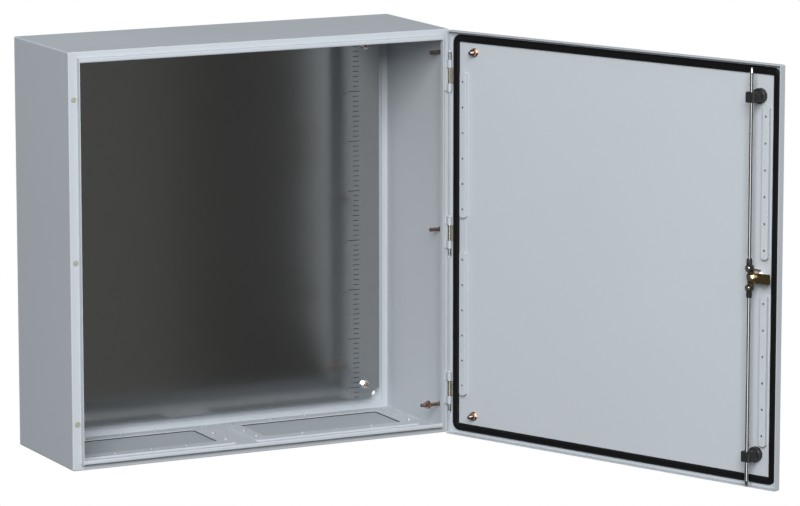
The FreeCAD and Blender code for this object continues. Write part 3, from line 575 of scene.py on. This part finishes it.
def scale_tree():
    """A column of ticks on every point: short ones, longer fives, and long tens moved to one side."""
    wiring, given = geometry_tree("plate scale", {
        "Count": WHOLE, "Division": FLOAT, "First Ten": WHOLE, "Short": FLOAT, "Five": FLOAT,
        "Ten": FLOAT, "Ten Shift": FLOAT, "Line Width": FLOAT, "Ink": FLOAT, "Side": FLOAT})
    column = wiring.node("GeometryNodeMeshLine", {
        "Count": given["Count"], "Offset": wiring.vector(z=given["Division"])})
    index = wiring.node("GeometryNodeInputIndex").outputs[0]
    keep_positive = 100.0
    number = wiring.plus(wiring.minus(index, given["First Ten"]), keep_positive)
    is_ten, is_five = (
        wiring.math("LESS_THAN", wiring.math("MODULO", number, step), 0.5) for step in (10.0, 5.0))
    more_for_five = wiring.times(is_five, wiring.minus(given["Five"], given["Short"]))
    more_for_ten = wiring.times(is_ten, wiring.minus(given["Ten"], given["Five"]))
    length = wiring.plus(wiring.plus(given["Short"], more_for_five), more_for_ten)
    shift = wiring.times(wiring.times(is_ten, given["Ten Shift"]), given["Side"])
    moved = wiring.node("GeometryNodeSetPosition", {
        "Geometry": column.outputs[0], "Offset": wiring.vector(x=shift)})
    tick = wiring.node("GeometryNodeMeshCube", {"Size": (1.0, 1.0, 1.0)})
    ticks = wiring.node("GeometryNodeInstanceOnPoints", {
        "Points": moved.outputs[0], "Instance": tick.outputs["Mesh"],
        "Scale": wiring.vector(length, given["Ink"], given["Line Width"])})
    columns = wiring.node("GeometryNodeInstanceOnPoints", {
        "Points": given["Geometry"], "Instance": ticks.outputs[0]})
    return finish_tree(wiring, given, columns.outputs[0])


# Meshes

def plain_mesh(holder):
    """The finished mesh of an object, which is then removed."""
    ready = holder.evaluated_get(bpy.context.evaluated_depsgraph_get())
    mesh = bpy.data.meshes.new_from_object(ready)
    holder.modifiers.clear()
    bpy.data.objects.remove(holder)
    return mesh


def grown(tree, points, finish, values):
    """Runs a tree on a set of points and returns the plain mesh that it makes."""
    seed = bpy.data.meshes.new(tree.name)
    seed.from_pydata([tuple(point) for point in points], [], [])
    holder = bpy.data.objects.new(tree.name, seed)
    bpy.context.scene.collection.objects.link(holder)
    modifier = holder.modifiers.new("Tree", "NODES")
    modifier.node_group = tree
    sockets = {item.name: item.identifier for item in tree.interface.items_tree if item.in_out == "INPUT"}
    for label, value in {**values, "Material": FINISHES[finish]}.items():
        modifier[sockets[label]] = value
    holder.update_tag()
    return plain_mesh(holder)


def joined(meshes):
    """One mesh out of several."""
    whole = bmesh.new()
    for mesh in meshes:
        whole.from_mesh(mesh)
    result = meshes[0].copy()
    whole.to_mesh(result)
    whole.free()
    return result


def add_piece(name, mesh, body, finish, replaced=()):
    """Puts a finished mesh into the scene on a body of the part."""
    mesh.materials.clear()
    mesh.materials.append(FINISHES[finish])
    for polygon in mesh.polygons:
        polygon.material_index = 0
        polygon.use_smooth = False
    piece = bpy.data.objects.new(name, mesh)
    bpy.context.scene.collection.objects.link(piece)
    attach(piece, body)
    if replaced:
        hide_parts(*replaced)
    return piece


def turn_with_door(mesh):
    """Moves a mesh drawn on the closed door to where the door stands open."""
    to_hinge = Matrix.Translation(HINGE_LINE)
    mesh.transform(to_hinge @ Matrix.Rotation(OPEN_ANGLE, 4, "Z") @ to_hinge.inverted())
    return mesh


def smooth_by_angle(mesh, degrees):
    """Smooth shading, with edges sharper than an angle kept crisp."""
    mesh.shade_smooth()
    mesh.set_sharp_from_angle(angle=math.radians(degrees))


# Stage

def make_world(stage):
    """White to the camera, even light on the object, and a dark room in reflections."""
    cool_light, warm_room = (0.93, 0.97, 1.0), (1.0, 1.0, 0.98)
    world = bpy.data.worlds.new("studio")
    world.use_nodes = True
    bpy.context.scene.world = world
    wiring = Wiring(world.node_tree)
    rays = wiring.node("ShaderNodeLightPath").outputs
    even = [part * stage.ambient for part in cool_light]
    room = [part * stage.reflected_room for part in warm_room]
    lit = wiring.tint(rays["Is Glossy Ray"], (*even, 1.0), (*room, 1.0))
    seen = wiring.tint(rays["Is Camera Ray"], lit, WHITE)
    wiring.put(seen, world.node_tree.nodes["Background"].inputs["Color"])


def make_floor(stage):
    """A wide floor, dim where it lights the object and pure white to the camera."""
    reach, tone, roughness = 30.0, (0.10, 0.10, 0.10), 0.9
    mesh = bpy.data.meshes.new("floor")
    corners = [(-reach, -reach), (reach, -reach), (reach, reach), (-reach, reach)]
    mesh.from_pydata([(x, y, -stage.floor_drop) for x, y in corners], [], [(0, 1, 2, 3)])
    material = bpy.data.materials.new("white floor")
    material.use_nodes = True
    wiring = Wiring(material.node_tree)
    shader = material.node_tree.nodes["Principled BSDF"]
    shader.inputs["Base Color"].default_value = rgba(tone)
    shader.inputs["Roughness"].default_value = roughness
    white = wiring.node("ShaderNodeEmission", {"Color": WHITE, "Strength": 1.0})
    seen = wiring.node("ShaderNodeLightPath").outputs["Is Camera Ray"]
    mixed = wiring.node("ShaderNodeMixShader", {0: seen, 1: shader.outputs[0], 2: white.outputs[0]})
    wiring.put(mixed.outputs[0], material.node_tree.nodes["Material Output"].inputs["Surface"])
    mesh.materials.append(material)
    floor = bpy.data.objects.new("floor", mesh)
    bpy.context.scene.collection.objects.link(floor)
    floor.visible_glossy = False


def add_area_light(name, place, target, size, colour, power, gloss_only=False):
    """A rectangular light that faces a target, hidden from the camera."""
    lamp = bpy.data.lights.new(name, "AREA")
    lamp.shape = "RECTANGLE"
    lamp.size, lamp.size_y = size
    lamp.energy = power
    lamp.color = colour
    light = bpy.data.objects.new(name, lamp)
    light.location = place
    light.rotation_euler = (Vector(target) - Vector(place)).to_track_quat("-Z", "Y").to_euler()
    light.visible_camera = False
    light.visible_diffuse = not gloss_only
    bpy.context.scene.collection.objects.link(light)


def add_camera(place, turn, focal_length):
    """The scene's camera, turned by three angles in degrees."""
    lens = bpy.data.cameras.new("camera")
    lens.lens = focal_length
    lens.sensor_width = 36.0
    lens.clip_end = 100.0
    camera = bpy.data.objects.new("camera", lens)
    camera.location = place
    camera.rotation_euler = [math.radians(angle) for angle in turn]
    bpy.context.scene.collection.objects.link(camera)
    bpy.context.scene.camera = camera


class ENCLOSURE_OT_stage(bpy.types.Operator):
    """Floor, soft studio light and the camera at the photograph's angle"""
    bl_idname = "enclosure.stage"
    bl_label = "Stage"

    camera_place = (-3.66411, -8.13856, 1.50753)
    camera_turn = (80.0724, 0.0053, -26.6993)
    middle = Vector((0.15, -0.5, 0.0))
    white = (1.0, 1.0, 1.0)

    # Cards that only gloss shows: place, what each faces, width and height, colour
    wall_card = ((-2.9, -5.7, -0.5), (0.1, -0.4, 0.0), (2.6, 3.0), (1.0, 0.985, 0.95))
    panel_card = ((0.95, -3.3, -0.6), (0.0, 0.0, -0.2), (0.8, 1.7), (1.0, 0.99, 0.95))

    def execute(self, context):
        stage = context.scene.enclosure_stage
        make_world(stage)
        make_floor(stage)
        away = Vector((
            -math.sin(stage.key_azimuth) * math.cos(stage.key_elevation),
            -math.cos(stage.key_azimuth) * math.cos(stage.key_elevation),
            math.sin(stage.key_elevation)))
        add_area_light(
            "softbox", self.middle + away * stage.key_distance, self.middle,
            (stage.key_size, stage.key_size), self.white, stage.key_power)
        add_area_light("reflected wall", *self.wall_card, stage.card, gloss_only=True)
        add_area_light("reflected panel", *self.panel_card, stage.plate_card, gloss_only=True)
        add_camera(self.camera_place, self.camera_turn, stage.focal_length)
        context.scene.view_settings.view_transform = "Standard"
        context.scene.view_settings.look = "None"
        return {"FINISHED"}


# The enclosure

class ENCLOSURE_OT_painted_steel(bpy.types.Operator):
    """Powder coat of the sheet steel parts, and their gaskets and plugs"""
    bl_idname = "enclosure.painted_steel"
    bl_label = "Painted steel"

    def execute(self, context):
        finish_nodes(
            "paint", "body_wrap", "rear_panel", "door_panel", "rail_hinge_upper", "rail_hinge_lower",
            "rail_hinge_link", "rail_lock_upper", "rail_lock_lower",
            "hinge_bracket_top", "hinge_bracket_middle", "hinge_bracket_bottom")
        finish_nodes("gland paint", "gland_plate_left", "gland_plate_right")
        finish_nodes("rubber", "gland_gasket_left", "gland_gasket_right")
        finish_nodes("plug plastic", "hinge_blanking_plugs")
        return {"FINISHED"}


class ENCLOSURE_OT_mounting_plate(bpy.types.Operator):
    """Galvanised finish of the mounting plate, and the scale down each of its sides"""
    bl_idname = "enclosure.mounting_plate"
    bl_label = "Mounting plate and scale"

    ink = 0.06 * MM

    # Middle of the short ticks from the plate's side, and the lowest tick from its lower edge
    tick_in = 51.0 * MM
    tick_up = 2.8 * MM

    tick_lengths = {"Short": 12.0 * MM, "Five": 15.0 * MM, "Ten": 25.6 * MM}
    ten_shift = -4.5 * MM
    ticks = 74
    first_ten = 2

    # Figures stand inward of the ticks, their tops a little lower than the long ones
    figures = 8
    figure_step = 100
    ticks_per_figure = 10
    figure_in = 20.0 * MM

    # In figure heights
    figure_drop = 1.35
    text_size = 1.4

    def figure(self, sizes, side, number, place):
        """One number, its face on the plate's front."""
        text = bpy.data.curves.new("scale figure", "FONT")
        text.body = str(number)
        text.size = sizes.figure_height * self.text_size
        text.extrude = self.ink / 2
        text.align_x = "RIGHT" if side > 0 else "LEFT"
        text.resolution_u = 3
        holder = bpy.data.objects.new("scale figure", text)
        bpy.context.scene.collection.objects.link(holder)
        mesh = plain_mesh(holder)
        mesh.transform(Matrix.Translation(place) @ Matrix.Rotation(math.pi / 2, 4, "X"))
        return mesh

    def execute(self, context):
        sizes = context.scene.enclosure_sizes
        finish_nodes("galvanised", "mounting_plate")
        tree = scale_tree()
        tick_x = PLATE_HIGH.x - self.tick_in
        ink_y = PLATE_LOW.y - self.ink / 2
        low_z = PLATE_LOW.z + self.tick_up
        columns, figures = [], []
        for side in (-1, 1):
            columns.append(grown(tree, [(side * tick_x, ink_y, low_z)], "ink", {
                "Count": self.ticks, "Division": sizes.tick_pitch, "First Ten": self.first_ten,
                **self.tick_lengths, "Ten Shift": self.ten_shift,
                "Line Width": sizes.tick_width, "Ink": self.ink, "Side": float(side)}))
            for step in range(self.figures):
                tick_z = low_z + (self.first_ten + self.ticks_per_figure * step) * sizes.tick_pitch
                figure_z = tick_z - sizes.figure_height * self.figure_drop
                place = (side * (tick_x - self.figure_in), ink_y, figure_z)
                figures.append(self.figure(sizes, side, step * self.figure_step, place))
        add_piece("plate_scale", joined(columns), "enclosure", "ink")
        add_piece("plate_figures", joined(figures), "enclosure", "faint ink")
        return {"FINISHED"}


class ENCLOSURE_OT_studs(bpy.types.Operator):
    """Coppered studs with real threads, and the nuts and washers on them"""
    bl_idname = "enclosure.studs"
    bl_label = "Studs"

    thread = 8.0 * MM
    short_stud = 22.5 * MM
    long_stud = 41.5 * MM
    door_stud = 17.0 * MM
    door_stud_in = 62.5 * MM

    # Radii and height of the low cone where a stud is welded on, and radius of a plate stud's collar
    weld_root = 5.2 * MM
    weld_top = 4.6 * MM
    weld_height = 1.0 * MM
    collar = 7.5 * MM

    # A plate stud's thread starts this far inside its collar
    thread_overlap = 1.0 * MM

    def bars(self, tree, sizes, places, direction, length, finish):
        return grown(tree, places, finish, {
            "Diameter": self.thread, "Pitch": sizes.stud_pitch, "Length": length,
            "Sides": sizes.thread_sides, "Direction": direction})

    def discs(self, places, direction, root_radius, top_radius, height):
        """Low round forms that stand on the places along a direction."""
        sides = 32
        meshes = []
        turn = Vector(direction).to_track_quat("Z", "Y").to_matrix().to_4x4()
        for place in places:
            disc = bmesh.new()
            bmesh.ops.create_cone(
                disc, cap_ends=True, segments=sides, radius1=root_radius, radius2=top_radius, depth=height)
            disc.transform(Matrix.Translation(Vector(place) + Vector(direction) * height / 2) @ turn)
            mesh = bpy.data.meshes.new("disc")
            disc.to_mesh(mesh)
            disc.free()
            meshes.append(mesh)
        return joined(meshes)

    def side_studs(self, tree, sizes):
        """Three on each side wall, the lowest right one longer."""
        low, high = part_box("side_studs_right")
        rise = high.z - self.weld_root
        for name, side, lowest in (("right", 1, self.long_stud), ("left", -1, self.short_stud)):
            roots = [(side * high.x, (low.y + high.y) / 2, z) for z in (rise, 0.0, -rise)]
            inward = (-float(side), 0.0, 0.0)
            # The threads take the darker copper, which paints the shade of their grooves
            threads = [
                self.bars(tree, sizes, [root], inward, length, "groove shaded copper")
                for root, length in zip(roots, (self.short_stud, self.short_stud, lowest))]
            welds = self.discs(roots, inward, self.weld_root, self.weld_top, self.weld_height)
            add_piece("side_studs_" + name + "_threaded", joined([*threads, welds]), "enclosure",
                      "groove shaded copper", ["side_studs_" + name])

    def door_studs(self, tree, sizes):
        low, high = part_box("door_earth_studs")
        half = self.thread / 2
        x = BODY_HIGH.x - self.door_stud_in
        roots = [(x, DOOR_SKIN_Y, low.z + half), (x, DOOR_SKIN_Y, high.z - half)]
        # The threads take the darker copper, which paints the shade of their grooves
        on_door = self.bars(tree, sizes, roots, (0.0, 1.0, 0.0), self.door_stud, "groove shaded copper")
        add_piece("door_studs_threaded", turn_with_door(on_door), "door",
                  "groove shaded copper", ["door_earth_studs"])

    def plate_studs(self, tree, sizes):
        """Studs with a thick collar that holds the mounting plate off the rear panel."""
        low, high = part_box("plate_studs")
        reach_x, reach_z = high.x - self.collar, high.z - self.collar
        corners = [(x, z) for x in (-reach_x, reach_x) for z in (-reach_z, reach_z)]
        forward = (0.0, -1.0, 0.0)
        thread_y = PLATE_HIGH.y + self.thread_overlap
        roots = [(x, high.y, z) for x, z in corners]
        starts = [(x, thread_y, z) for x, z in corners]
        collars = self.discs(roots, forward, self.collar, self.collar, high.y - PLATE_HIGH.y)
        threads = self.bars(tree, sizes, starts, forward, thread_y - low.y, "copper")
        add_piece("plate_studs_threaded", joined([collars, threads]), "enclosure",
                  "copper", ["plate_studs"])

    def execute(self, context):
        sizes = context.scene.enclosure_sizes
        tree = thread_tree()
        self.side_studs(tree, sizes)
        self.door_studs(tree, sizes)
        self.plate_studs(tree, sizes)
        finish_nodes(
            "copper", "plate_studs", "side_earth_nut", "side_earth_washer", "door_earth_washers",
            "door_earth_nuts", "side_studs_left", "side_studs_right", "door_earth_studs")
        finish_nodes("white zinc", "plate_washers", "plate_nuts")
        return {"FINISHED"}


class ENCLOSURE_OT_gland_screws(bpy.types.Operator):
    """Cross recessed screws that hold the gland plates from below"""
    bl_idname = "enclosure.gland_screws"
    bl_label = "Gland plate screws"

    # Middle of each opening, and how its screws stand along its rows and at its ends
    opening_x = 200.0 * MM
    opening_y = -105.0 * MM
    row_out = 75.0 * MM
    row_pitch = 75.0 * MM
    end_out = 167.0 * MM
    end_pitch = 58.0 * MM

    head = {"Diameter": 9.5 * MM, "Height": 3.0 * MM, "Recess": 5.2 * MM, "Direction": (0.0, 0.0, -1.0)}
    shank = {"Diameter": 5.0 * MM, "Length": 9.0 * MM, "Sides": 16, "Direction": (0.0, 0.0, 1.0)}

    def places(self, side):
        """Screw axes, at the underside of the gland plate."""
        centre = Vector((side * self.opening_x, self.opening_y, BODY_LOW.z))
        found = []
        for step in (-1, 0, 1):
            for edge in (-1, 1):
                found.append(centre + Vector((step * self.row_pitch, edge * self.row_out, 0)))
                found.append(centre + Vector((edge * self.end_out, step * self.end_pitch, 0)))
        return found

    def execute(self, context):
        pitch = context.scene.enclosure_sizes.screw_pitch
        head_tree, shank_tree = pan_head_tree(), thread_tree()
        for name, side in (("left", -1), ("right", 1)):
            places = self.places(side)
            heads = grown(head_tree, places, "dull zinc", self.head)
            shanks = grown(shank_tree, places, "dull zinc", {**self.shank, "Pitch": pitch})
            add_piece("gland_screws_recessed_" + name, joined([heads, shanks]), "enclosure",
                      "dull zinc", ["gland_screws_" + name])
            finish_nodes("dull zinc", "gland_screws_" + name)
        return {"FINISHED"}


class ENCLOSURE_OT_seal(bpy.types.Operator):
    """Foamed seal: a crowned bead run round the door"""
    bl_idname = "enclosure.seal"
    bl_label = "Door seal"

    # Middle of the bead from the body's sides, from its top and floor, and its corners' radius
    side_in = 17.5 * MM
    end_in = 15.5 * MM
    corner = 9.25 * MM

    corner_steps = 8
    run_steps = 40
    section_steps = 12

    # The bead is this high in its middle, and falls by a share of that towards its edges
    crown = 4.7 * MM
    edge_fall = 0.42
    edge_power = 3.2

    # The uneven height along the bead is a short and a long wave, in radians a ring
    short_wave = 0.9
    long_wave = 0.37
    long_share = 0.6
    long_start = 1.0

    crisp_angle = 50

    def line(self):
        """Points and outward directions along the middle of the bead."""
        reach_x = BODY_HIGH.x - self.side_in - self.corner
        reach_z = BODY_HIGH.z - self.end_in - self.corner
        quarters = [(1, 1, 0), (-1, 1, 90), (-1, -1, 180), (1, -1, 270)]
        centres = [Vector((side_x * reach_x, 0, side_z * reach_z)) for side_x, side_z, _ in quarters]
        found = []
        for number, (_, _, start) in enumerate(quarters):
            for step in range(self.corner_steps + 1):
                angle = math.radians(start + step * 90 / self.corner_steps)
                out = Vector((math.cos(angle), 0, math.sin(angle)))
                found.append((centres[number] + out * self.corner, out))
            begin, goal = found[-1][0], centres[(number + 1) % 4] + out * self.corner
            for step in range(1, self.run_steps):
                found.append((begin.lerp(goal, step / self.run_steps), out))
        return found

    def height(self, number, across, unevenness):
        """Height of the bead at a ring, and at a place from -1 to 1 across it."""
        short = math.sin(number * self.short_wave)
        long = self.long_share * math.sin(number * self.long_wave + self.long_start)
        swell = 1.0 + unevenness * (short + long) / (1.0 + self.long_share)
        crowned = 1.0 - self.edge_fall * abs(across) ** self.edge_power
        return self.crown * (1.0 - unevenness) * crowned * swell

    def execute(self, context):
        sizes = context.scene.enclosure_sizes
        unevenness = sizes.seal_swell / self.crown
        bead = bmesh.new()
        rings = []
        for number, (point, out) in enumerate(self.line()):
            ring = []
            for step in range(self.section_steps + 1):
                across = 2 * step / self.section_steps - 1
                on_skin = step in (0, self.section_steps)
                height = 0.0 if on_skin else self.height(number, across, unevenness)
                place = point + out * across * sizes.seal_width / 2
                ring.append(bead.verts.new((place.x, DOOR_SKIN_Y + height, place.z)))
            rings.append(ring)
        for ring, following in zip(rings, rings[1:] + rings[:1]):
            for step in range(len(ring)):
                after = (step + 1) % len(ring)
                bead.faces.new((ring[step], following[step], following[after], ring[after]))
        bmesh.ops.recalc_face_normals(bead, faces=bead.faces)
        mesh = bpy.data.meshes.new("door seal")
        bead.to_mesh(mesh)
        bead.free()
        piece = add_piece("door_seal", turn_with_door(mesh), "door", "foam", ["door_gasket"])
        smooth_by_angle(piece.data, self.crisp_angle)
        finish_nodes("foam", "door_gasket")
        return {"FINISHED"}


class ENCLOSURE_OT_hinges(bpy.types.Operator):
    """Plated hinge knuckles and pins, and painted bolts"""
    bl_idname = "enclosure.hinges"
    bl_label = "Hinges"

    def execute(self, context):
        for place in ("top", "middle", "bottom"):
            finish_nodes("zinc", "hinge_barrel_" + place)
            finish_nodes("white zinc", "hinge_pin_" + place)
        finish_nodes("paint", "hinge_bracket_bolts")
        return {"FINISHED"}


class ENCLOSURE_OT_lock(bpy.types.Operator):
    """Finishes of the quarter-turn lock, its crank and the rod ends"""
    bl_idname = "enclosure.lock"
    bl_label = "Lock"

    def execute(self, context):
        finish_nodes("lock steel", "lock_housing", "lock_insert")
        finish_nodes("white zinc", "lock_ring_nut", "cam_screw")
        finish_nodes("passivated", "cam_tongue", "crank_plate")
        finish_nodes("pale passivated", "crank_pins")
        finish_nodes("rubber", "lock_gasket")
        finish_nodes("black plastic", "upper_rod_end", "lower_rod_end")
        return {"FINISHED"}


class ENCLOSURE_OT_rods(bpy.types.Operator):
    """Finishes of the locking rods, their guides and the guides' studs"""
    bl_idname = "enclosure.rods"
    bl_label = "Locking rods"

    def execute(self, context):
        finish_nodes("rod steel", "upper_rod", "lower_rod")
        finish_nodes("black plastic", "rod_guide_upper", "rod_guide_lower")
        finish_nodes("white zinc", "guide_studs")
        return {"FINISHED"}


# Add-on

SETTINGS = {
    "enclosure_stage": EnclosureStage,
    "enclosure_finish": EnclosureFinish,
    "enclosure_sizes": EnclosureSizes,
}

OPERATORS = (
    ENCLOSURE_OT_stage, ENCLOSURE_OT_painted_steel, ENCLOSURE_OT_mounting_plate, ENCLOSURE_OT_studs,
    ENCLOSURE_OT_gland_screws, ENCLOSURE_OT_seal, ENCLOSURE_OT_hinges, ENCLOSURE_OT_lock, ENCLOSURE_OT_rods)


class VIEW3D_PT_enclosure(bpy.types.Panel):
    """Lists the steps that dress the enclosure"""
    bl_idname = "VIEW3D_PT_enclosure"
    bl_label = "Steel wall enclosure"
    bl_space_type = "VIEW_3D"
    bl_region_type = "UI"
    bl_category = "Enclosure"

    def draw(self, context):
        for operator in OPERATORS:
            self.layout.operator(operator.bl_idname)
        for name in SETTINGS:
            settings = getattr(context.scene, name)
            for label in settings.__annotations__:
                self.layout.prop(settings, label)


CLASSES = (*SETTINGS.values(), *OPERATORS, VIEW3D_PT_enclosure)


def register():
    for kind in CLASSES:
        bpy.utils.register_class(kind)
    for name, kind in SETTINGS.items():
        setattr(bpy.types.Scene, name, PointerProperty(type=kind))


def unregister():
    for name in SETTINGS:
        delattr(bpy.types.Scene, name)
    for kind in reversed(CLASSES):
        bpy.utils.unregister_class(kind)


def main():
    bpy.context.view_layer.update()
    register()
    make_effects()
    make_finishes(bpy.context.scene.enclosure_finish)
    bpy.ops.enclosure.stage()
    bpy.ops.enclosure.painted_steel()
    bpy.ops.enclosure.mounting_plate()
    bpy.ops.enclosure.studs()
    bpy.ops.enclosure.gland_screws()
    bpy.ops.enclosure.seal()
    bpy.ops.enclosure.hinges()
    bpy.ops.enclosure.lock()
    bpy.ops.enclosure.rods()


if __name__ == "__main__":
    main()
